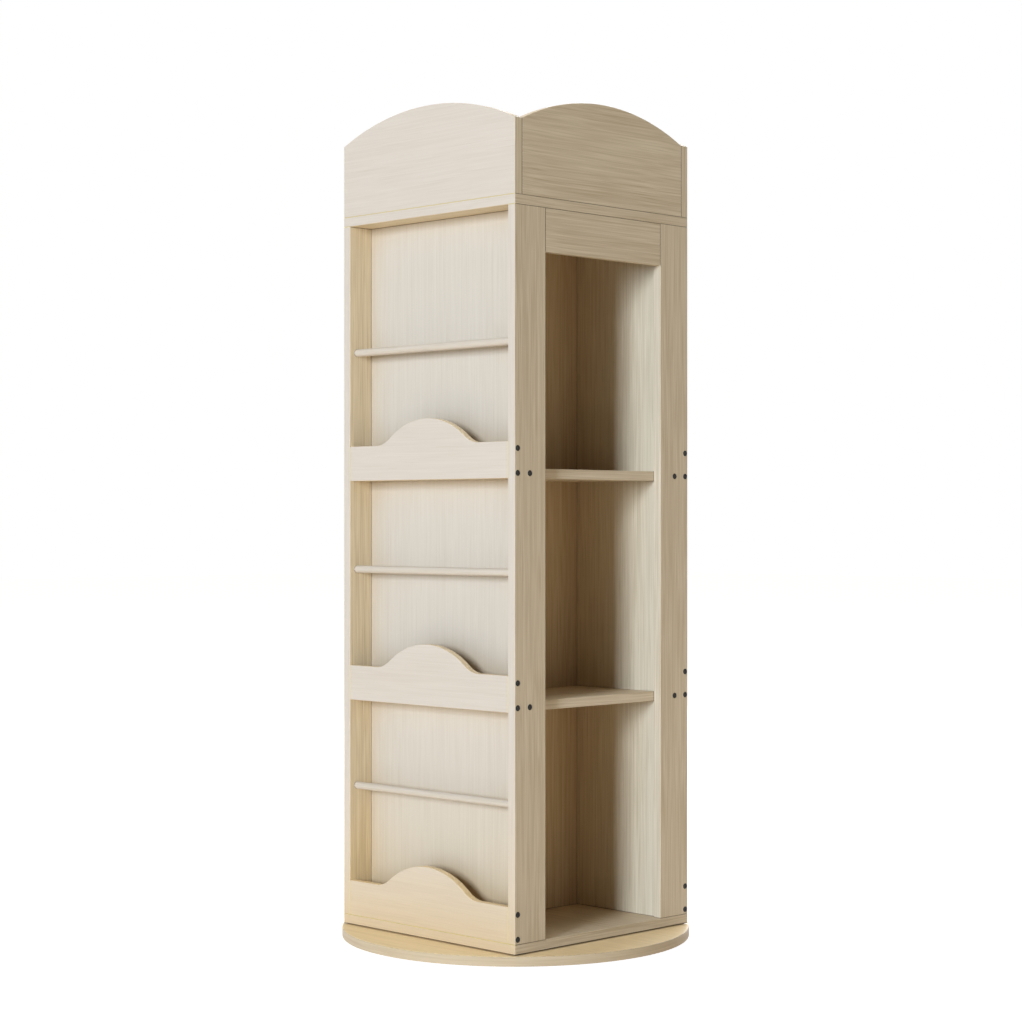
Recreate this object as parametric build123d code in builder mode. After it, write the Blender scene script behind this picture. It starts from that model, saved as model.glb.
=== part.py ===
from build123d import *

import math
import os
from collections import namedtuple

# Revolving bookcase: a square case of flat boards that turns on a round base.
# Millimetres, +Z up, origin on the floor under the turning axis.
# Front and back (-Y, +Y) are the display sides, left and right (-X, +X) the cubby sides.

os.makedirs("parts", exist_ok=True)

# Case
case_width = 390.0
board_thickness = 15.0
slim_thickness = 12.0  # guards and fascias
edge_radius = 1.0
bottom_tier = 344.0  # clear heights
middle_tier = 334.5
top_tier = 392.5
display_depth = 45.0  # front face to display panel
stile_return = 5.0  # stile reaches this far past the display panel

# Guards: a low board with one round hill in the middle
guard_height = 55.0
hill_rise = 40.0
hill_crest_radius = 140.0
hill_foot_radius = 50.0

# Retaining bars
bar_diameter = 12.0
bar_inset = 15.0  # front face to bar centre
bar_seat = 8.0  # depth of the blind hole in the stile
bottom_bar_height = 206.0  # above the foot of the guard
middle_bar_height = 208.5
top_bar_height = 205.5

# Fascias and arched top boards
fascia_height = 66.5
fascia_recess = 0.5
arch_shoulder = 114.0
arch_rise = 41.5

# Hex-socket bolts through the stiles
bolt_head_diameter = 9.0
bolt_head_height = 3.5
bolt_head_proud = 0.5
bolt_head_chamfer = 0.4
bolt_shank_diameter = 5.0
bolt_grip = 25.0  # depth in the guard or ledge
bolt_socket_width = 4.0
bolt_socket_depth = 2.5
bolt_top_margin = 10.5  # top of the guard's end to the upper bolt
ledge_bolt_setback = 13.5  # display panel to the bolt in front of it

# Wooden pins between the boards
pin_diameter = 6.0
pin_edge_depth = 20.0  # in the end or edge of one board
pin_skin = 5.0  # wood left behind a pin in the face of the other
pin_chamfer = 0.8
pair_shares = (-0.5, 0.5)
row_shares = (-0.5, 0.0, 0.5)
stile_pin_shares = (0.25, 0.75)
shelf_pin_shares = (0.25, 0.75)
height_shares = (0.1, 0.5, 0.9)

# Countersunk screws
countersink_angle = 90.0
board_screw_head_diameter = 7.5
board_screw_diameter = 4.0
board_screw_grip = 30.0
ring_screw_head_diameter = 6.5
ring_screw_diameter = 3.2
ring_screw_skin = 3.0  # wood left behind the tip
ring_screw_count = 6

# Base
base_diameter = 555.0
base_thickness = 15.0
base_rim_radius = 1.0
turn_gap = 1.5  # base to case
pad_diameter = 30.0
pad_thickness = 2.0
pad_count = 8
pad_margin = 22.0  # rim of the base to the pads

# Ball bearing let into the base
pitch_diameter = 200.0
ball_diameter = 5.0
ball_count = 36
ring_spacing = 3.0
ring_width = 20.0
pocket_depth = 7.5
ring_float = 1.0  # floor of the pocket to the turning ring
cage_thickness = 1.2
cage_web = 0.85  # cage above and below each ball
access_hole_diameter = 12.0

# Clearances
running_clearance = 0.05
fit_clearance = 0.05
pocket_clearance = 0.1
cage_clearance = 0.15
overrun = 1.0

# Levels
base_top = pad_thickness + base_thickness
floor_bottom = base_top + turn_gap
floor_top = floor_bottom + board_thickness
lower_shelf = floor_top + bottom_tier
upper_shelf = lower_shelf + board_thickness + middle_tier
roof_bottom = upper_shelf + board_thickness + top_tier
roof_top = roof_bottom + board_thickness
case_height = roof_bottom - floor_top

# Plan, as distances from the turning axis
half = case_width / 2
stile_back = half - board_thickness
stile_mid = half - board_thickness / 2
stile_width = display_depth + board_thickness + stile_return
stile_inner = half - stile_width
guard_back = half - slim_thickness
guard_mid = half - slim_thickness / 2
panel_front = half - display_depth
panel_back = panel_front - board_thickness
panel_mid = panel_front - board_thickness / 2
fascia_front = half - fascia_recess
fascia_back = fascia_front - slim_thickness
fascia_mid = fascia_front - slim_thickness / 2
divider_face = board_thickness / 2

# Fits
pin_face_depth = board_thickness - pin_skin
pin_hole_radius = pin_diameter / 2 + fit_clearance
bar_radius = bar_diameter / 2
bar_seat_radius = bar_radius + fit_clearance
bolt_sink = bolt_head_height - bolt_head_proud
bolt_sink_radius = bolt_head_diameter / 2 + fit_clearance
bolt_length = board_thickness - bolt_sink + bolt_grip
bolt_hole_radius = bolt_shank_diameter / 2 + fit_clearance
board_screw_hole = board_screw_diameter / 2 + fit_clearance
ring_screw_hole = ring_screw_diameter / 2 + fit_clearance

sides_x = {"left": -1, "right": 1}
sides_y = {"front": -1, "back": 1}
shelf_levels = {"lower": lower_shelf, "upper": upper_shelf}
tier_feet = {"bottom": floor_top, "middle": lower_shelf, "top": upper_shelf}
bar_heights = {"bottom": bottom_bar_height, "middle": middle_bar_height, "top": top_bar_height}

# A set of equal holes, drilled along the plane's normal where depth is positive
Drilling = namedtuple("Drilling", "plane points radius depth")
# A row of pins at the plane where two boards meet; way is the side of the board drilled in its edge
PinRow = namedtuple("PinRow", "plane points way")


def x_plane(x):
    """Plane across X with points (y, z) and normal +X."""
    return Plane.YZ.offset(x)


def y_plane(y):
    """Plane across Y with points (x, z) and normal -Y."""
    return Plane.XZ.offset(-y)


def z_plane(z):
    """Level plane with points (x, y) and normal +Z."""
    return Plane.XY.offset(z)


def underside(z):
    """Level plane that faces down."""
    return Plane(origin=(0, 0, z), x_dir=(1, 0, 0), z_dir=(0, 0, -1))


def edge_holes(row):
    """Holes for a row of pins in the board that takes them in its edge."""
    return Drilling(row.plane, row.points, pin_hole_radius, row.way * (pin_edge_depth + fit_clearance))


def face_holes(row):
    """Holes for a row of pins in the board that takes them in its face."""
    return Drilling(row.plane, row.points, pin_hole_radius, -row.way * (pin_face_depth + fit_clearance))


def screw_pilots(points):
    """Holes in the foot of a board for the screws that come up through the bottom board."""
    return Drilling(z_plane(floor_top), points, board_screw_hole, board_screw_grip + fit_clearance)


def bolt_pilots(points):
    """Holes in both ends of a guard or ledge for the bolts that come through the stiles."""
    depth = bolt_grip + fit_clearance
    return [
        Drilling(x_plane(side * stile_back), points, bolt_hole_radius, -side * depth)
        for side in sides_x.values()
    ]


# Places of the fasteners


def stile_points(side_x, side_y):
    places = [stile_inner + share * stile_width for share in stile_pin_shares]
    return [(side_x * stile_mid, side_y * place) for place in places]


def panel_points(side_y):
    return [(share * stile_back, side_y * panel_mid) for share in pair_shares]


def fascia_points(side_x):
    return [(side_x * fascia_mid, share * stile_inner) for share in pair_shares]


divider_points = [(0, share * panel_back) for share in pair_shares]


def roof_row(points):
    return PinRow(z_plane(roof_bottom), points, -1)


def display_arch_row(side_y):
    return PinRow(z_plane(roof_top), [(share * half, side_y * stile_mid) for share in row_shares], 1)


def cubby_arch_row(side_x):
    return PinRow(z_plane(roof_top), [(side_x * stile_mid, share * stile_back) for share in row_shares], 1)


def panel_edge_row(side_x, side_y):
    heights = [floor_top + share * case_height for share in height_shares]
    return PinRow(x_plane(side_x * stile_back), [(side_y * panel_mid, z) for z in heights], -side_x)


def divider_row(side_y):
    heights = [floor_top + share * case_height for share in height_shares]
    return PinRow(y_plane(side_y * panel_back), [(0, z) for z in heights], side_y)


def shelf_row(side_x, side_y, level):
    depth = stile_back - divider_face
    places = [divider_face + share * depth for share in shelf_pin_shares]
    middle = level + board_thickness / 2
    return PinRow(y_plane(side_y * panel_back), [(side_x * place, middle) for place in places], side_y)


def guard_bolt_points(side_y, foot):
    heights = (foot + board_thickness / 2, foot + guard_height - bolt_top_margin)
    return [(side_y * guard_mid, z) for z in heights]


def ledge_bolt_points(side_y, level):
    return [(side_y * (panel_front + ledge_bolt_setback), level + board_thickness / 2)]


def stile_bolt_points(side_y):
    points = []
    for foot in tier_feet.values():
        points += guard_bolt_points(side_y, foot)
    for level in shelf_levels.values():
        points += ledge_bolt_points(side_y, level)
    return points


def bar_point(side_y, tier):
    return (side_y * (half - bar_inset), tier_feet[tier] + bar_heights[tier])


# Makers


def drill(holes):
    """Cuts holes in the part that is being built."""
    for hole in holes:
        with BuildSketch(hole.plane) as mouths:
            with Locations(*hole.points):
                Circle(hole.radius)
        extrude(mouths.sketch, amount=hole.depth, mode=Mode.SUBTRACT)


def make_board(name, x_span, y_span, z_span, holes):
    """A flat board with softened edges and its drilled holes."""
    low_x, high_x = sorted(x_span)
    low_y, high_y = sorted(y_span)
    low_z, high_z = z_span
    with BuildPart() as piece:
        with BuildSketch(Plane(origin=((low_x + high_x) / 2, (low_y + high_y) / 2, low_z))):
            Rectangle(high_x - low_x, high_y - low_y)
        extrude(amount=high_z - low_z)
        fillet(piece.edges(), radius=edge_radius)
        drill(holes)
    piece.part.label = name
    export_step(piece.part, f"parts/{name}.step")


def make_guard(name, side_y, foot):
    """A display guard: level ends and a hill of one crest arc between two foot arcs."""
    reach = hill_crest_radius + hill_foot_radius
    drop = reach - hill_rise
    hill_half = math.sqrt(reach**2 - drop**2)
    crest_share = hill_crest_radius / reach
    shoulder = foot + guard_height
    crest = shoulder + hill_rise
    turn = (crest_share * hill_half, crest - hill_crest_radius + crest_share * drop)
    with BuildPart() as guard:
        with BuildSketch(y_plane(side_y * half)):
            with BuildLine():
                Polyline((0, foot), (stile_back, foot), (stile_back, shoulder), (hill_half, shoulder))
                TangentArc((hill_half, shoulder), turn, tangent=(-1, 0))
                TangentArc((0, crest), turn, tangent=(1, 0))
                mirror(about=Plane.YZ)
            make_face()
        extrude(amount=side_y * slim_thickness)
        fillet(guard.edges(), radius=edge_radius)
        drill(bolt_pilots(guard_bolt_points(side_y, foot)))
    guard.part.label = name
    export_step(guard.part, f"parts/{name}.step")


def make_arch(name, face_plane, inward, half_length, row):
    """An arched top board whose arc runs from end to end."""
    shoulder = roof_top + arch_shoulder
    left, right = (-half_length, shoulder), (half_length, shoulder)
    with BuildPart() as arch:
        with BuildSketch(face_plane):
            with BuildLine():
                Polyline(left, (-half_length, roof_top), (half_length, roof_top), right)
                ThreePointArc(right, (0, shoulder + arch_rise), left)
            make_face()
        extrude(amount=inward * board_thickness)
        fillet(arch.edges(), radius=edge_radius)
        drill([edge_holes(row)])
    arch.part.label = name
    export_step(arch.part, f"parts/{name}.step")


def make_bar(name, point):
    """A round bar with both ends in the stiles."""
    end = stile_back + bar_seat
    with BuildPart() as bar:
        with BuildSketch(x_plane(-end)):
            with Locations(point):
                Circle(bar_radius)
        extrude(amount=end + end)
        chamfer(bar.edges().filter_by(GeomType.CIRCLE), length=edge_radius)
    bar.part.label = name
    export_step(bar.part, f"parts/{name}.step")


def make_bolts(name, side_x, side_y):
    """The hex-socket bolts of one stile."""
    points = stile_bolt_points(side_y)
    head_face = x_plane(side_x * (half + bolt_head_proud))
    with BuildPart() as bolts:
        with BuildSketch(head_face):
            with Locations(*points):
                Circle(bolt_head_diameter / 2)
        extrude(amount=-side_x * bolt_head_height)
        rims = bolts.edges().filter_by(GeomType.CIRCLE).group_by(Axis.X)
        chamfer(rims[-1] if side_x > 0 else rims[0], length=bolt_head_chamfer)
        with BuildSketch(x_plane(side_x * (half - bolt_sink))):
            with Locations(*points):
                Circle(bolt_shank_diameter / 2)
        extrude(amount=-side_x * bolt_length)
        with BuildSketch(head_face):
            with Locations(*points):
                RegularPolygon(bolt_socket_width / 2, side_count=6, major_radius=False)
        extrude(amount=-side_x * bolt_socket_depth, mode=Mode.SUBTRACT)
    bolts.part.label = name
    export_step(bolts.part, f"parts/{name}.step")


def make_pins(name, rows):
    """A group of wooden pins with chamfered ends."""
    with BuildPart() as pins:
        for row in rows:
            with BuildSketch(row.plane.offset(-row.way * pin_face_depth)):
                with Locations(*row.points):
                    Circle(pin_diameter / 2)
            extrude(amount=row.way * (pin_face_depth + pin_edge_depth))
        chamfer(pins.edges().filter_by(GeomType.CIRCLE), length=pin_chamfer)
    pins.part.label = name
    export_step(pins.part, f"parts/{name}.step")


def make_screws(name, head_plane, points, head_diameter, diameter, length):
    """A group of countersunk screws, heads level with the plane that they face."""
    head_height = (head_diameter - diameter) / 2 / math.tan(math.radians(countersink_angle / 2))
    under = (Align.CENTER, Align.CENTER, Align.MAX)
    with BuildPart(head_plane) as screws:
        with Locations(*points):
            Cone(diameter / 2, head_diameter / 2, head_height, align=under)
            Cylinder(diameter / 2, length, align=under)
    screws.part.label = name
    export_step(screws.part, f"parts/{name}.step")


# Base and bearing

base_radius = base_diameter / 2
pad_circle = base_radius - pad_margin - pad_diameter / 2
pitch_radius = pitch_diameter / 2
ball_radius = ball_diameter / 2
pocket_floor = base_top - pocket_depth
fixed_ring_inner = pitch_radius + ring_spacing / 2
fixed_ring_outer = fixed_ring_inner + ring_width
turning_ring_outer = pitch_radius - ring_spacing / 2
turning_ring_inner = turning_ring_outer - ring_width
turning_ring_bottom = pocket_floor + ring_float
race_level = (turning_ring_bottom + base_top) / 2
race_radius = ball_radius + running_clearance
fixed_screw_circle = (fixed_ring_inner + fixed_ring_outer) / 2
turning_screw_circle = (turning_ring_inner + turning_ring_outer) / 2
cage_height = ball_diameter + 2 * (cage_clearance + cage_web)
fixed_screw_length = base_thickness - ring_screw_skin
turning_screw_length = floor_top - ring_screw_skin - turning_ring_bottom


def circle_points(radius, count):
    turns = [2 * math.pi * step / count for step in range(count)]
    return [(radius * math.cos(turn), radius * math.sin(turn)) for turn in turns]


fixed_screw_points = circle_points(fixed_screw_circle, ring_screw_count)
turning_screw_points = circle_points(turning_screw_circle, ring_screw_count)


with BuildPart() as base_disc:
    with BuildSketch(z_plane(pad_thickness)):
        Circle(base_radius)
    extrude(amount=base_thickness)
    fillet(base_disc.edges().filter_by(GeomType.CIRCLE), radius=base_rim_radius)
    with BuildSketch(z_plane(base_top)):
        Circle(fixed_ring_outer + pocket_clearance)
    extrude(amount=-pocket_depth, mode=Mode.SUBTRACT)
    with BuildSketch(z_plane(pocket_floor)):
        with Locations(turning_screw_points[0]):
            Circle(access_hole_diameter / 2)
    extrude(amount=-base_thickness, mode=Mode.SUBTRACT)
    with BuildSketch(z_plane(pocket_floor)):
        with Locations(*fixed_screw_points):
            Circle(ring_screw_hole)
    extrude(amount=pocket_depth - fixed_screw_length - fit_clearance, mode=Mode.SUBTRACT)
base_disc.part.label = "base_disc"
export_step(base_disc.part, "parts/base_disc.step")


with BuildPart() as foot_pads:
    with BuildSketch():
        with PolarLocations(pad_circle, pad_count):
            Circle(pad_diameter / 2)
    extrude(amount=pad_thickness)
foot_pads.part.label = "foot_pads"
export_step(foot_pads.part, "parts/foot_pads.step")


def make_ring(name, head_plane, radii, levels, points):
    """A race ring with a round groove for the balls and countersunk screw holes."""
    low, high = levels
    inner, outer = radii
    with BuildPart(head_plane) as ring:
        with BuildSketch(Plane.XZ):
            with Locations(((inner + outer) / 2, (low + high) / 2)):
                Rectangle(outer - inner, high - low)
            with Locations((pitch_radius, race_level)):
                Circle(race_radius, mode=Mode.SUBTRACT)
        revolve(axis=Axis.Z)
        with Locations(*points):
            CounterSinkHole(
                ring_screw_hole,
                ring_screw_head_diameter / 2 + fit_clearance,
                depth=high - low + overrun,
                counter_sink_angle=countersink_angle,
            )
    ring.part.label = name
    export_step(ring.part, f"parts/{name}.step")


make_ring(
    "bearing_outer_ring",
    z_plane(base_top),
    (fixed_ring_inner, fixed_ring_outer),
    (pocket_floor, base_top),
    fixed_screw_points,
)
make_ring(
    "bearing_inner_ring",
    underside(turning_ring_bottom),
    (turning_ring_inner, turning_ring_outer),
    (turning_ring_bottom, floor_bottom),
    turning_screw_points,
)
make_screws(
    "outer_ring_screws",
    z_plane(base_top),
    fixed_screw_points,
    ring_screw_head_diameter,
    ring_screw_diameter,
    fixed_screw_length,
)
make_screws(
    "inner_ring_screws",
    underside(turning_ring_bottom),
    turning_screw_points,
    ring_screw_head_diameter,
    ring_screw_diameter,
    turning_screw_length,
)


with BuildPart(z_plane(race_level)) as bearing_balls:
    with PolarLocations(pitch_radius, ball_count):
        Sphere(ball_radius)
bearing_balls.part.label = "bearing_balls"
export_step(bearing_balls.part, "parts/bearing_balls.step")


with BuildPart(z_plane(race_level)) as ball_cage:
    with BuildSketch(z_plane(race_level - cage_height / 2)):
        Circle(pitch_radius + cage_thickness / 2)
        Circle(pitch_radius - cage_thickness / 2, mode=Mode.SUBTRACT)
    extrude(amount=cage_height)
    with PolarLocations(pitch_radius, ball_count):
        Cylinder(
            ball_radius + cage_clearance,
            cage_thickness + overrun,
            rotation=(0, 90, 0),
            mode=Mode.SUBTRACT,
        )
ball_cage.part.label = "ball_cage"
export_step(ball_cage.part, "parts/ball_cage.step")


# Bottom and top boards

foot_points = list(divider_points)
roof_points = list(divider_points)
for side_y in sides_y.values():
    foot_points += panel_points(side_y)
    roof_points += panel_points(side_y)
for side_x in sides_x.values():
    roof_points += fascia_points(side_x)
    for side_y in sides_y.values():
        foot_points += stile_points(side_x, side_y)
        roof_points += stile_points(side_x, side_y)

arch_rows = [display_arch_row(side_y) for side_y in sides_y.values()]
arch_rows += [cubby_arch_row(side_x) for side_x in sides_x.values()]


with BuildPart(underside(floor_bottom)) as bottom_board:
    with BuildSketch(z_plane(floor_bottom)):
        Rectangle(case_width, case_width)
    extrude(amount=board_thickness)
    fillet(bottom_board.edges(), radius=edge_radius)
    with Locations(*foot_points):
        CounterSinkHole(
            board_screw_hole,
            board_screw_head_diameter / 2 + fit_clearance,
            depth=board_thickness + overrun,
            counter_sink_angle=countersink_angle,
        )
    with Locations(*turning_screw_points):
        Hole(ring_screw_hole, depth=board_thickness - ring_screw_skin + fit_clearance)
bottom_board.part.label = "bottom_board"
export_step(bottom_board.part, "parts/bottom_board.step")

make_screws(
    "bottom_board_screws",
    underside(floor_bottom),
    foot_points,
    board_screw_head_diameter,
    board_screw_diameter,
    board_thickness + board_screw_grip,
)
make_board(
    "top_board",
    (-half, half),
    (-half, half),
    (roof_bottom, roof_top),
    [face_holes(row) for row in (roof_row(roof_points), *arch_rows)],
)
make_pins("top_board_pins", [roof_row(roof_points)])
make_pins("arch_pins", arch_rows)


# Upright boards

wall_span = (floor_top, roof_bottom)

for name_x, side_x in sides_x.items():
    for name_y, side_y in sides_y.items():
        places = stile_points(side_x, side_y)
        bolt_places = stile_bolt_points(side_y)
        bar_places = [bar_point(side_y, tier) for tier in tier_feet]
        outer_face = x_plane(side_x * half)
        inner_face = x_plane(side_x * stile_back)
        seat = Drilling(inner_face, bar_places, bar_seat_radius, side_x * (bar_seat + fit_clearance))
        bore = Drilling(outer_face, bolt_places, bolt_hole_radius, -side_x * (board_thickness + overrun))
        sink = Drilling(outer_face, bolt_places, bolt_sink_radius, -side_x * bolt_sink)
        make_board(
            f"stile_{name_y}_{name_x}",
            (side_x * stile_back, side_x * half),
            (side_y * stile_inner, side_y * half),
            wall_span,
            [
                edge_holes(roof_row(places)),
                screw_pilots(places),
                face_holes(panel_edge_row(side_x, side_y)),
                seat,
                bore,
                sink,
            ],
        )
        make_bolts(f"bolts_{name_y}_{name_x}", side_x, side_y)

shelf_rows = [
    shelf_row(side_x, side_y, level)
    for side_x in sides_x.values()
    for side_y in sides_y.values()
    for level in shelf_levels.values()
]
panel_rows = [
    panel_edge_row(side_x, side_y) for side_x in sides_x.values() for side_y in sides_y.values()
]
divider_rows = [divider_row(side_y) for side_y in sides_y.values()]
make_pins("shelf_pins", shelf_rows)
make_pins("panel_pins", panel_rows)
make_pins("divider_pins", divider_rows)

for name_y, side_y in sides_y.items():
    inner_rows = [
        shelf_row(side_x, side_y, level)
        for side_x in sides_x.values()
        for level in shelf_levels.values()
    ]
    make_board(
        f"display_panel_{name_y}",
        (-stile_back, stile_back),
        (side_y * panel_back, side_y * panel_front),
        wall_span,
        [
            edge_holes(roof_row(panel_points(side_y))),
            screw_pilots(panel_points(side_y)),
            *[edge_holes(panel_edge_row(side_x, side_y)) for side_x in sides_x.values()],
            *[face_holes(row) for row in (divider_row(side_y), *inner_rows)],
        ],
    )

make_board(
    "centre_divider",
    (-divider_face, divider_face),
    (-panel_back, panel_back),
    wall_span,
    [
        edge_holes(roof_row(divider_points)),
        screw_pilots(divider_points),
        *[edge_holes(row) for row in divider_rows],
    ],
)


# Cubby sides

for name_x, side_x in sides_x.items():
    for name_level, level in shelf_levels.items():
        make_board(
            f"shelf_{name_x}_{name_level}",
            (side_x * divider_face, side_x * stile_back),
            (-panel_back, panel_back),
            (level, level + board_thickness),
            [edge_holes(shelf_row(side_x, side_y, level)) for side_y in sides_y.values()],
        )
    make_board(
        f"fascia_{name_x}",
        (side_x * fascia_back, side_x * fascia_front),
        (-stile_inner, stile_inner),
        (roof_bottom - fascia_height, roof_bottom),
        [edge_holes(roof_row(fascia_points(side_x)))],
    )
    make_arch(f"arch_{name_x}", x_plane(side_x * half), -side_x, stile_back, cubby_arch_row(side_x))


# Display sides

for name_y, side_y in sides_y.items():
    for name_level, level in shelf_levels.items():
        make_board(
            f"ledge_{name_y}_{name_level}",
            (-stile_back, stile_back),
            (side_y * panel_front, side_y * guard_back),
            (level, level + board_thickness),
            bolt_pilots(ledge_bolt_points(side_y, level)),
        )
    for tier, foot in tier_feet.items():
        make_guard(f"guard_{name_y}_{tier}", side_y, foot)
        make_bar(f"bar_{name_y}_{tier}", bar_point(side_y, tier))
    make_arch(f"arch_{name_y}", y_plane(side_y * half), side_y, half, display_arch_row(side_y))
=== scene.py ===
import math

import bpy
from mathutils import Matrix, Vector


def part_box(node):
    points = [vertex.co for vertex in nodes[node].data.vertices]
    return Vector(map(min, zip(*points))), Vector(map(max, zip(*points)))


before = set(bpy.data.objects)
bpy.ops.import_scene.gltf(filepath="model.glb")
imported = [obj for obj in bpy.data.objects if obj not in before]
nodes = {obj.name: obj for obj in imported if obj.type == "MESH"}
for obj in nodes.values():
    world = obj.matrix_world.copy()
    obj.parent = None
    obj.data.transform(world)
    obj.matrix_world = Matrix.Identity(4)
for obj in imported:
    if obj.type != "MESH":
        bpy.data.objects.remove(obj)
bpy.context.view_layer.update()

# Camera of the photograph: turned from -Y towards +X, level, framed with a small shift
CAMERA_AZIMUTH = math.radians(45.226)
CAMERA_DISTANCE = 3.639
CAMERA_HEIGHT = 0.6616
CAMERA_REACH = 100.0
IMAGE_HEIGHT_PX = 1024
FOCAL_PX = 2267
AXIS_RIGHT_PX = 4.68
HORIZON_DOWN_PX = 10.0
SENSOR = 36.0

# Lamps: (azimuth from -Y towards +X, elevation, distance, width, height, power, colour)
KEY = (17.6, 9.7, 14.0, 2.4, 5.0, 1640, (0.89, 1.0, 1.1))
TOP = (45.0, 88.0, 7.0, 3.0, 3.0, 265, (1.0, 0.93, 0.79))
BACK = (205.0, 20.0, 4.0, 2.5, 2.5, 125, (0.92, 1.0, 1.14))
LAMP_TARGET = Vector((0, 0, 0.65))
AMBIENT = (1.0, 0.86, 0.62, 1.0)
AMBIENT_STRENGTH = 0.11
WHITE = (1.0, 1.0, 1.0, 1.0)

# Floor: one tone where it lights the object, a glow and a faint shadow where it is seen
FLOOR_SIZE = 40.0
FLOOR_GLOW = 0.965
FLOOR_TONE = (0.95, 0.83, 0.66, 1.0)
SEEN_FLOOR_TONE = (0.35, 0.35, 0.35, 1.0)


def srgb(red, green, blue):
    """Linear colour from 8-bit display values."""

    def linear(value):
        share = value / 255
        return share / 12.92 if share <= 0.04045 else ((share + 0.055) / 1.055) ** 2.4

    return (linear(red), linear(green), linear(blue), 1.0)


# Shader helpers


class Shader:
    """A new material with a Principled shader and short calls for its nodes."""

    def __init__(self, name):
        self.material = bpy.data.materials.new(name)
        self.material.use_nodes = True
        self.tree = self.material.node_tree
        self.surface = self.tree.nodes["Principled BSDF"]
        coordinates = self.node("ShaderNodeTexCoord")
        self.position = coordinates.outputs["Object"]
        self.normal = coordinates.outputs["Normal"]

    def node(self, kind, **settings):
        made = self.tree.nodes.new(kind)
        for key, value in settings.items():
            setattr(made, key, value)
        return made

    def link(self, source, target):
        self.tree.links.new(source, target)

    def feed(self, socket, value):
        """Links a socket or sets a constant."""
        if isinstance(value, bpy.types.NodeSocket):
            self.link(value, socket)
        else:
            socket.default_value = value

    def math(self, operation, first, second=0.0, clamp=False):
        made = self.node("ShaderNodeMath", operation=operation, use_clamp=clamp)
        self.feed(made.inputs[0], first)
        self.feed(made.inputs[1], second)
        return made.outputs[0]

    def product(self, first, *others):
        for other in others:
            first = self.math("MULTIPLY", first, other)
        return first

    def vector(self, operation, first, second):
        made = self.node("ShaderNodeVectorMath", operation=operation)
        self.feed(made.inputs[0], first)
        self.feed(made.inputs[1], second)
        return made.outputs["Value" if operation == "DOT_PRODUCT" else "Vector"]

    def mix(self, share, first, second, blend="MIX"):
        made = self.node("ShaderNodeMix", data_type="RGBA", blend_type=blend)
        self.feed(made.inputs[0], share)
        self.feed(made.inputs[6], first)
        self.feed(made.inputs[7], second)
        return made.outputs[2]

    def tinted(self, share, tone, tint):
        return self.mix(share, tone, self.mix(1.0, tone, tint, "MULTIPLY"))

    def blend_vectors(self, share, first, second):
        made = self.node("ShaderNodeMix", data_type="VECTOR")
        self.feed(made.inputs[0], share)
        self.feed(made.inputs[4], first)
        self.feed(made.inputs[5], second)
        return made.outputs[1]

    def noise(self, vector, scale, detail=1.0):
        made = self.node("ShaderNodeTexNoise", noise_dimensions="3D")
        self.link(vector, made.inputs["Vector"])
        made.inputs["Scale"].default_value = scale
        made.inputs["Detail"].default_value = detail
        return made.outputs["Fac"]

    def spread(self, value, low, high, to_low=0.0, to_high=1.0):
        """Maps low..high onto to_low..to_high, and stops there."""
        made = self.node("ShaderNodeMapRange", clamp=True)
        self.feed(made.inputs[0], value)
        for socket, number in zip(list(made.inputs)[1:5], (low, high, to_low, to_high)):
            socket.default_value = number
        return made.outputs[0]

    def openness(self, distance, samples, only_local=False):
        """1 in the open, less where surfaces within the distance shelter the point."""
        made = self.node("ShaderNodeAmbientOcclusion", samples=samples, only_local=only_local)
        made.inputs["Distance"].default_value = distance
        return made.outputs["AO"]

    def bump(self, height, distance):
        made = self.node("ShaderNodeBump")
        made.inputs["Distance"].default_value = distance
        self.link(height, made.inputs["Height"])
        self.link(made.outputs["Normal"], self.surface.inputs["Normal"])

    def set(self, **values):
        for key, value in values.items():
            self.feed(self.surface.inputs[key.replace("_", " ")], value)


# Where most of a noise's values lie, narrowly and widely
NOISE_NARROW = (0.35, 0.65)
NOISE_WIDE = (0.3, 0.7)

# Wood

# Grain: stretch along it, noise scales per metre, how far it wanders, and the shift from piece to piece
ALONG = 0.018
GRAIN_AXES = {"x": (ALONG, 1, 1), "y": (1, ALONG, 1), "z": (1, 1, ALONG), "ring": (ALONG, ALONG, 1)}
AXIS_VECTORS = {"x": (1, 0, 0), "y": (0, 1, 0), "z": (0, 0, 1)}
FINE_SCALE = 560.0
FINE_SHARE = 0.6
MEDIUM_SCALE = 240.0
BROAD_SCALE = 36.0
BROAD_SHARE = 0.4
PORE_SCALE = 620.0
PORE_RANGE = (0.6, 0.74)
PORE_SHARE = 0.3
FIGURE_RANGE = (0.34, 0.66)
WANDER_SCALE = 5.0
WANDER = 0.003
PIECE_SHIFT = 37.0
WOOD_SPECULAR = 0.2
WOOD_ROUGHNESS = (0.5, 0.42)
WOOD_BUMP = 0.00006

# Places on the case, in metres, from the boards that bound them
DISPLAY_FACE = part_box("top_board")[1][1]
PANEL_MIDDLE = sum(corner[1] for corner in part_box("display_panel_back")) / 2
CASE_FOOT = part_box("bottom_board")[0][2]
CASE_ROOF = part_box("top_board")[0][2]
STILE_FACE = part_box("stile_front_right")[0][0]
DIVIDER_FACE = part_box("centre_divider")[1][0]
CUBBY_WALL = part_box("display_panel_back")[0][1]
EDGE_RADIUS = 0.001
GROOVE_DEPTH = 0.0015

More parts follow.
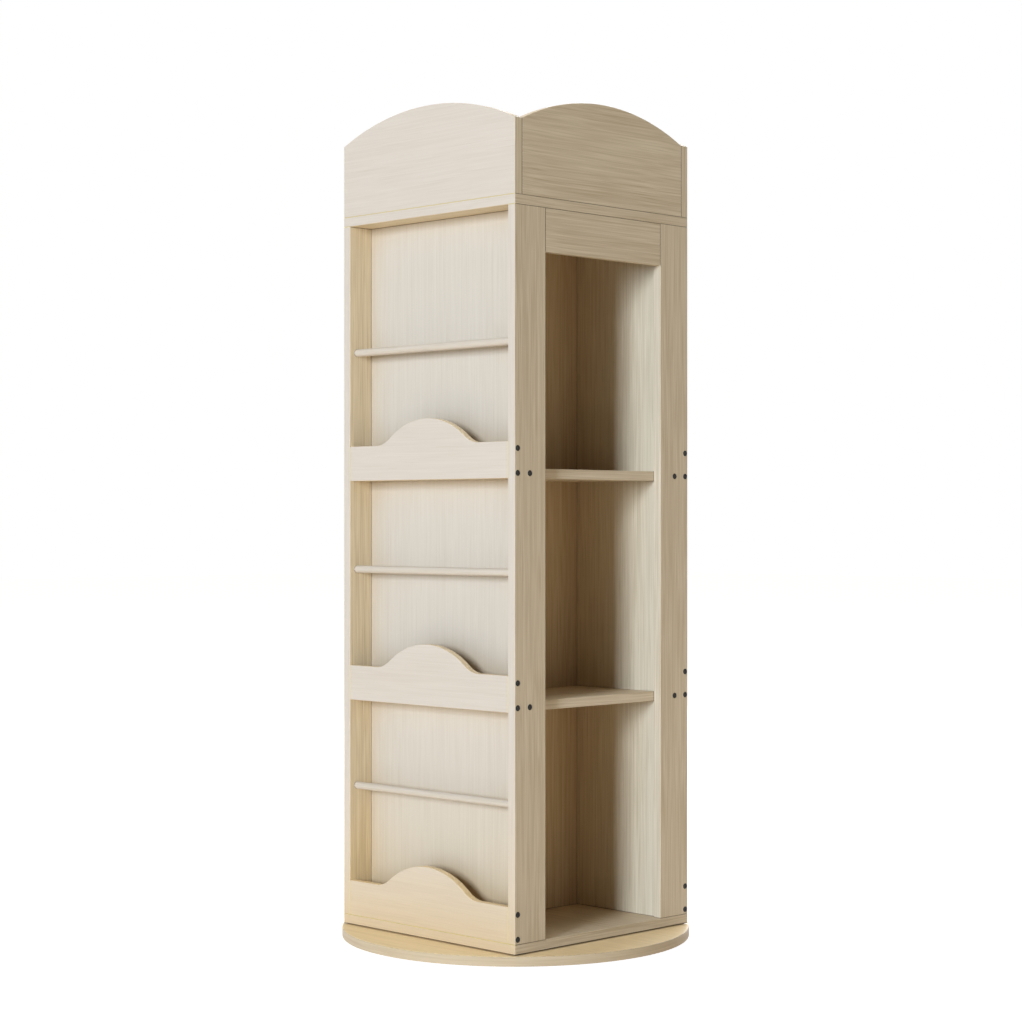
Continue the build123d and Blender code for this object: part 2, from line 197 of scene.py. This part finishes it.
# Painted shade and painted light in sheltered places: shade in nooks, bounce light in the recesses, shade
# deep in the cubbies and in the divider's corners, warm light near the foot; how far they reach, and how
# sheltered a nook is
NOOK_PAINTED_SHADE = (0.9, 0.82, 0.7, 1.0)
NOOK_REACH = 0.25
NOOK_SAMPLES = 8
NOOK_RANGE = (0.42, 0.7)
RECESS_PAINTED_BOUNCE = (1.19, 1.18, 1.1, 1.0)
CUBBY_PAINTED_SHADE = (0.9, 0.79, 0.64, 1.0)
CORNER_PAINTED_SHADE = (0.8, 0.76, 0.72, 1.0)
CORNER_REACH = 0.075
FOOT_PAINTED_WARM_LIGHT = (1.08, 0.975, 0.75, 1.0)
FOOT_REACH = 0.38
PLAIN = WHITE

# Lines where boards meet: a brown joint line, painted pale gold on the display sides as lit grooves, and
# weaker on level edges in the cubbies
JOINT_BROWN = srgb(46, 26, 10)
JOINT_PAINTED_GOLD = srgb(218, 203, 141)
SEAM_REACH = 0.002
SEAM_SAMPLES = 16
SEAM_RANGE = (0.8, 0.99)
LEVEL_RANGE = (0.0, 0.3)
LEVEL_SEAM = 0.6

# How squarely a face looks along an axis: flat faces, faces of the edge bands, and rounded edges
ACROSS_RANGE = (0.6, 0.8)
BAND_LIMIT = 0.8
ROUNDED_RANGE = (0.97, 0.999)

# Light, dark and pore tones: clear figure on the cubby sides; on the display sides paler, bluer tones with a
# faint figure, painted light for the key light washing them out
CLEAR_TONES = (srgb(217, 203, 182), srgb(190, 172, 145), srgb(168, 146, 113))
LIT_DISPLAY_TONES = (srgb(211, 201, 192), srgb(204, 193, 183), srgb(195, 181, 167))
INNER_TONES = (srgb(221, 210, 194), srgb(196, 183, 162), srgb(174, 157, 126))
BASE_TONES = (srgb(206, 189, 164), srgb(193, 175, 148), srgb(174, 152, 122))
BAR_TONES = (srgb(210, 200, 190), srgb(199, 188, 174), srgb(181, 167, 146))
PIN_TONES = (srgb(212, 182, 140), srgb(196, 162, 118), srgb(160, 124, 84))
# Painted light: the base disc's level faces are painted lighter, as if lit from above
BASE_TOP_PAINTED_LIGHT = (1.46, 1.44, 1.26, 1.0)
PANEL_TINT = (0.975, 1.0, 1.0, 1.0)


class Board(Shader):
    """Wood that knows its grain and its place on the case."""

    def __init__(self, name, grain, band_axis, band_grain):
        super().__init__(name)
        self.from_middle = self.math("ABSOLUTE", self.along("y"))
        self.from_divider = self.math("ABSOLUTE", self.along("x"))
        self.height = self.along("z")
        self.inside = self.math("LESS_THAN", self.from_middle, PANEL_MIDDLE)
        self.across_y = self.spread(self.facing("y"), *ACROSS_RANGE)
        near_foot = self.spread(self.height, 0.0, FOOT_REACH, 1.0, 0.0)
        self.near_foot = self.product(near_foot, near_foot)
        self.on_band = self.math("GREATER_THAN", self.facing(band_axis), BAND_LIMIT)
        self.grow(GRAIN_AXES[grain], GRAIN_AXES[band_grain])

    def along(self, axis):
        return self.vector("DOT_PRODUCT", self.position, AXIS_VECTORS[axis])

    def facing(self, axis):
        return self.math("ABSOLUTE", self.vector("DOT_PRODUCT", self.normal, AXIS_VECTORS[axis]))

    def grow(self, face_stretch, band_stretch):
        """Fine straight grain that bends a little and differs from piece to piece."""
        stretch = self.blend_vectors(self.on_band, face_stretch, band_stretch)
        chance = self.node("ShaderNodeObjectInfo").outputs["Random"]
        shift = self.math("MULTIPLY", chance, PIECE_SHIFT)
        wander = self.math("MULTIPLY", self.noise(self.position, WANDER_SCALE), WANDER)
        placed = self.vector("ADD", self.vector("MULTIPLY", self.position, stretch), shift)
        bent = self.vector("ADD", placed, wander)
        fine = self.math("MULTIPLY", self.noise(bent, FINE_SCALE), FINE_SHARE)
        medium = self.math("MULTIPLY", self.noise(bent, MEDIUM_SCALE), 1.0 - FINE_SHARE)
        self.figure = self.math("ADD", fine, medium)
        self.broad = self.noise(bent, BROAD_SCALE)
        self.pores = self.spread(self.noise(bent, PORE_SCALE), *PORE_RANGE)

    def coloured(self, light, dark, streak):
        tone = self.mix(self.spread(self.figure, *FIGURE_RANGE), dark, light)
        tone = self.mix(self.spread(self.broad, *NOISE_WIDE, 0.0, BROAD_SHARE), tone, light)
        return self.mix(self.math("MULTIPLY", self.pores, PORE_SHARE), tone, streak)

    def sheltered(self, tone):
        """Paints shade into nooks of the display sides, bounce light and warm light near the foot into their
        recesses, and shade into the cubbies' depth and corners.
        """
        outside = self.math("SUBTRACT", 1.0, self.inside)
        under_roof = self.math("LESS_THAN", self.height, CASE_ROOF + EDGE_RADIUS)
        # Painted shade: outward display faces are darkened where other boards shelter them
        nook = self.spread(self.openness(NOOK_REACH, NOOK_SAMPLES), *NOOK_RANGE, 1.0, 0.0)
        tone = self.tinted(self.product(nook, self.across_y, outside), tone, NOOK_PAINTED_SHADE)

        between_stiles = self.math("LESS_THAN", self.from_divider, STILE_FACE + EDGE_RADIUS)
        off_y = self.math("SUBTRACT", 1.0, self.across_y)
        in_recess = self.product(between_stiles, outside, off_y, under_roof)
        # Painted light: recess faces between the stiles are lightened and warmed, as by light bouncing off
        # the panel
        tone = self.tinted(in_recess, tone, RECESS_PAINTED_BOUNCE)
        # Painted light: a warm light is painted on the recess faces near the foot
        tone = self.tinted(self.product(in_recess, self.near_foot), tone, FOOT_PAINTED_WARM_LIGHT)

        # Painted shade: faces deep in the cubbies, towards the divider, are darkened and browned
        depth = self.spread(self.from_divider, DIVIDER_FACE, STILE_FACE, 1.0, 0.0)
        tone = self.tinted(self.product(depth, self.inside, under_roof), tone, CUBBY_PAINTED_SHADE)
        # Painted shade: the divider is darkened towards the corners where it meets the cubby walls
        on_divider = self.math("LESS_THAN", self.from_divider, DIVIDER_FACE + EDGE_RADIUS)
        corner = self.spread(self.from_middle, CUBBY_WALL - CORNER_REACH, CUBBY_WALL)
        return self.tinted(self.product(on_divider, corner, self.facing("x")), tone, CORNER_PAINTED_SHADE)

    def jointed(self, tone, on_case):
        """Lines along the rounded edges where boards meet, painted pale gold as lit grooves on the display
        sides, and a painted shadow line along the foot of the case.
        """
        level_or_y = self.math("MAXIMUM", self.facing("y"), self.facing("z"))
        flatness = self.math("MAXIMUM", self.facing("x"), level_or_y)
        rounded = self.spread(flatness, *ROUNDED_RANGE, 1.0, 0.0)
        seam = self.spread(self.openness(SEAM_REACH, SEAM_SAMPLES), *SEAM_RANGE, 1.0, 0.0)
        # Painted light: on the display sides the joint line is painted pale gold, as in a lit groove
        painted_lit_side = self.math("GREATER_THAN", self.from_middle, DISPLAY_FACE - GROOVE_DEPTH)
        strength = self.spread(self.facing("z"), *LEVEL_RANGE, 1.0, LEVEL_SEAM)
        seam = self.math("MULTIPLY", seam, self.math("MAXIMUM", painted_lit_side, strength))
        if on_case:
            # Painted shadow: a dark line along the foot of the case, where the gap over the base lies in
            # shade
            foot_shadow_line = self.math("LESS_THAN", self.height, CASE_FOOT + EDGE_RADIUS)
            seam = self.math("MAXIMUM", seam, foot_shadow_line)
            painted_lit_side = self.math("SUBTRACT", painted_lit_side, foot_shadow_line, clamp=True)
        line = self.mix(painted_lit_side, JOINT_BROWN, JOINT_PAINTED_GOLD)
        return self.mix(self.math("MULTIPLY", seam, rounded), tone, line)


def wood(name, grain, band_axis, band_grain, tones, has_display=False, band_tint=PLAIN, on_case=True):
    """Matt board with fine straight grain, with painted shade and painted light in sheltered places, and
    lines where boards meet.

    grain is the axis along the faces; faces across band_axis are bands, with their own grain and tint.
    With has_display, faces that look to the display sides carry painted light, paler and bluer tones with a
    faint figure, and those in the cubbies a stronger figure.
    """
    board = Board(name, grain, band_axis, band_grain)
    tone = board.coloured(*tones)
    if has_display:
        # Painted light: display-facing faces take paler, bluer tones with a faint figure, and warm light is
        # painted near the foot
        outer = board.tinted(board.near_foot, board.coloured(*LIT_DISPLAY_TONES), FOOT_PAINTED_WARM_LIGHT)
        facing_y = board.mix(board.inside, outer, board.coloured(*INNER_TONES))
        tone = board.mix(board.across_y, tone, facing_y)
    if band_tint != PLAIN:
        tone = board.tinted(board.on_band, tone, band_tint)
    if on_case:
        tone = board.sheltered(tone)
    board.set(Base_Color=board.jointed(tone, on_case), Specular_IOR_Level=WOOD_SPECULAR)
    board.set(Roughness=board.spread(board.figure, *NOISE_WIDE, *WOOD_ROUGHNESS))
    board.bump(board.figure, WOOD_BUMP)
    return board.material


upright = wood("board_upright", "z", "y", "z", CLEAR_TONES, has_display=True)
panel = wood("board_panel", "z", "y", "z", CLEAR_TONES, has_display=True, band_tint=PANEL_TINT)
along_x = wood("board_along_x", "x", "x", "z", CLEAR_TONES, has_display=True)
along_y = wood("board_along_y", "y", "y", "z", CLEAR_TONES, has_display=True)
level = wood("board_level", "x", "x", "y", CLEAR_TONES, has_display=True)
turned = wood("bar_turned", "x", "x", "x", BAR_TONES, on_case=False)
# Painted light: the base disc's level faces are painted lighter, as if lit from above
base_wood = wood("base_round", "ring", "z", "x", BASE_TONES, band_tint=BASE_TOP_PAINTED_LIGHT, on_case=False)
pin_wood = wood("pin_beech", "z", "z", "z", PIN_TONES)


# Metal, rubber and plastic

BLACK = srgb(28, 26, 24)
# Painted reflection: the bolts' sockets are painted a lighter grey
SOCKET_PAINTED_REFLECTION = srgb(128, 126, 122)
BLACK_METALLIC = 0.35
BLACK_ROUGHNESS = (0.32, 0.48)
BLACK_BUMP = 0.00004
GRIT_SCALE = 2500.0
GRIT_DETAIL = 2.0
SOCKET_REACH = 0.003
SOCKET_SAMPLES = 8
SOCKET_RANGE = (0.35, 0.85)

METAL_LIGHT = srgb(205, 205, 206)
METAL_BUMP = 0.00002
METAL_ROUGHER = 0.12
RING_STRETCH = (1, 1, 40)
RING_SCALE = 160.0

MOULD_BUMP = 0.00005
MOULD_ROUGHER = 0.1
MOULD_PALER = 1.15
MOULD_LIFT = 0.004
TEXTURE_DETAIL = 3.0


def black_oxide():
    """Satin black bolt with a painted reflection, a lighter grey, in its socket."""
    shader = Shader("bolt_black")
    hollow = shader.openness(SOCKET_REACH, SOCKET_SAMPLES, only_local=True)
    # Painted reflection: the socket's floor is painted a lighter grey
    painted_reflection = shader.spread(hollow, *SOCKET_RANGE, 1.0, 0.0)
    grit = shader.noise(shader.position, GRIT_SCALE, GRIT_DETAIL)
    shader.set(
        Base_Color=shader.mix(painted_reflection, BLACK, SOCKET_PAINTED_REFLECTION),
        Metallic=BLACK_METALLIC,
        Roughness=shader.spread(grit, *NOISE_WIDE, *BLACK_ROUGHNESS),
    )
    shader.bump(grit, BLACK_BUMP)
    return shader.material


def metal(name, tone, roughness):
    """Turned metal with fine rings."""
    shader = Shader(name)
    rings = shader.noise(shader.vector("MULTIPLY", shader.position, RING_STRETCH), RING_SCALE, TEXTURE_DETAIL)
    shader.set(
        Base_Color=shader.mix(shader.spread(rings, *NOISE_NARROW), tone, METAL_LIGHT),
        Metallic=1.0,
        Roughness=shader.spread(rings, *NOISE_WIDE, roughness, roughness + METAL_ROUGHER),
    )
    shader.bump(rings, METAL_BUMP)
    return shader.material


def moulded(name, tone, roughness, scale):
    """Plain moulded plastic or rubber with a fine surface texture."""
    shader = Shader(name)
    texture = shader.noise(shader.position, scale, TEXTURE_DETAIL)
    paler = tuple(min(1.0, channel * MOULD_PALER + MOULD_LIFT) for channel in tone[:3]) + (1.0,)
    shader.set(
        Base_Color=shader.mix(shader.spread(texture, *NOISE_NARROW), tone, paler),
        Roughness=shader.spread(texture, *NOISE_WIDE, roughness, roughness + MOULD_ROUGHER),
    )
    shader.bump(texture, MOULD_BUMP)
    return shader.material


bolt_black = black_oxide()
steel = metal("screw_steel", srgb(182, 182, 184), roughness=0.28)
ring_metal = metal("ring_aluminium", srgb(190, 191, 193), roughness=0.34)
nylon = moulded("cage_nylon", srgb(226, 224, 214), roughness=0.5, scale=900.0)
rubber = moulded("pad_rubber", srgb(46, 45, 44), roughness=0.75, scale=1400.0)

# Materials by the end of a piece's name, then by its start
FINISHES_BY_END = {"_pins": pin_wood, "_screws": steel}
FINISHES_BY_START = {
    "stile_": upright,
    "display_panel_": panel,
    "centre_divider": upright,
    "guard_": along_x,
    "ledge_": along_x,
    "arch_front": along_x,
    "arch_back": along_x,
    "arch_left": along_y,
    "arch_right": along_y,
    "fascia_": along_y,
    "shelf_left": along_y,
    "shelf_right": along_y,
    "top_board": level,
    "bottom_board": level,
    "bar_": turned,
    "base_disc": base_wood,
    "bolts_": bolt_black,
    "bearing_outer_ring": ring_metal,
    "bearing_inner_ring": ring_metal,
    "bearing_balls": steel,
    "ball_cage": nylon,
    "foot_pads": rubber,
}


def finish_for(name):
    for end, material in FINISHES_BY_END.items():
        if name.endswith(end):
            return material
    return next(material for start, material in FINISHES_BY_START.items() if name.startswith(start))


for name, piece in nodes.items():
    material = finish_for(name)
    if not piece.material_slots:
        piece.data.materials.append(material)
    for slot in piece.material_slots:
        slot.material = material


# Stage


def seen_rays(tree):
    """1 for camera, glossy and transmission rays."""
    path = tree.nodes.new("ShaderNodeLightPath")
    total = path.outputs["Is Camera Ray"]
    for ray in ("Is Glossy Ray", "Is Transmission Ray"):
        most = tree.nodes.new("ShaderNodeMath")
        most.operation = "MAXIMUM"
        tree.links.new(total, most.inputs[0])
        tree.links.new(path.outputs[ray], most.inputs[1])
        total = most.outputs[0]
    return total


def shade_by_ray(tree, output_kind, lighting, seen):
    """One shader for the light on the object, another for what is seen."""
    output = tree.nodes.new(output_kind)
    mixed = tree.nodes.new("ShaderNodeMixShader")
    tree.links.new(seen_rays(tree), mixed.inputs[0])
    tree.links.new(lighting.outputs[0], mixed.inputs[1])
    tree.links.new(seen.outputs[0], mixed.inputs[2])
    tree.links.new(mixed.outputs[0], output.inputs["Surface"])


def matt_shader(tree, colour):
    matt = tree.nodes.new("ShaderNodeBsdfDiffuse")
    matt.inputs["Color"].default_value = colour
    return matt


def background_shader(tree, colour, strength):
    background = tree.nodes.new("ShaderNodeBackground")
    background.inputs["Color"].default_value = colour
    background.inputs["Strength"].default_value = strength
    return background


def add_floor():
    """White where it is seen, with a faint shadow, and a warm pale floor where it lights."""
    mesh = bpy.data.meshes.new("floor")
    reach = FLOOR_SIZE / 2
    corners = [(-reach, -reach, 0), (reach, -reach, 0), (reach, reach, 0), (-reach, reach, 0)]
    mesh.from_pydata(corners, [], [(0, 1, 2, 3)])
    floor = bpy.data.objects.new("floor", mesh)
    bpy.context.scene.collection.objects.link(floor)
    material = bpy.data.materials.new("floor_white")
    material.use_nodes = True
    tree = material.node_tree
    tree.nodes.clear()
    glow = tree.nodes.new("ShaderNodeEmission")
    glow.inputs["Strength"].default_value = FLOOR_GLOW
    seen = tree.nodes.new("ShaderNodeAddShader")
    tree.links.new(glow.outputs[0], seen.inputs[0])
    tree.links.new(matt_shader(tree, SEEN_FLOOR_TONE).outputs[0], seen.inputs[1])
    shade_by_ray(tree, "ShaderNodeOutputMaterial", matt_shader(tree, FLOOR_TONE), seen)
    mesh.materials.append(material)


def light_world():
    """White where it is seen, a soft warm ambient where it lights."""
    world = bpy.data.worlds.new("studio")
    bpy.context.scene.world = world
    world.use_nodes = True
    tree = world.node_tree
    tree.nodes.clear()
    lighting = background_shader(tree, AMBIENT, AMBIENT_STRENGTH)
    shade_by_ray(tree, "ShaderNodeOutputWorld", lighting, background_shader(tree, WHITE, 1.0))


def add_lamp(name, azimuth, elevation, distance, width, height, power, colour):
    turn, rise = math.radians(azimuth), math.radians(elevation)
    away = Vector((math.sin(turn) * math.cos(rise), -math.cos(turn) * math.cos(rise), math.sin(rise)))
    data = bpy.data.lights.new(name, "AREA")
    data.shape = "RECTANGLE"
    data.size, data.size_y = width, height
    data.energy = power
    data.color = colour
    lamp = bpy.data.objects.new(name, data)
    bpy.context.scene.collection.objects.link(lamp)
    lamp.location = LAMP_TARGET + away * distance
    lamp.rotation_euler = (-away).to_track_quat("-Z", "Y").to_euler()


def add_camera():
    data = bpy.data.cameras.new("camera")
    data.sensor_fit = "AUTO"
    data.sensor_width = SENSOR
    data.lens = FOCAL_PX * SENSOR / IMAGE_HEIGHT_PX
    data.shift_x = -AXIS_RIGHT_PX / IMAGE_HEIGHT_PX
    data.shift_y = HORIZON_DOWN_PX / IMAGE_HEIGHT_PX
    data.clip_end = CAMERA_REACH
    camera = bpy.data.objects.new("camera", data)
    bpy.context.scene.collection.objects.link(camera)
    away = Vector((math.sin(CAMERA_AZIMUTH), -math.cos(CAMERA_AZIMUTH), 0))
    camera.location = away * CAMERA_DISTANCE + Vector((0, 0, CAMERA_HEIGHT))
    camera.rotation_euler = (-away).to_track_quat("-Z", "Y").to_euler()
    bpy.context.scene.camera = camera


add_floor()
light_world()
add_lamp("key", *KEY)
add_lamp("top", *TOP)
add_lamp("back", *BACK)
add_camera()
bpy.context.scene.view_settings.view_transform = "Standard"
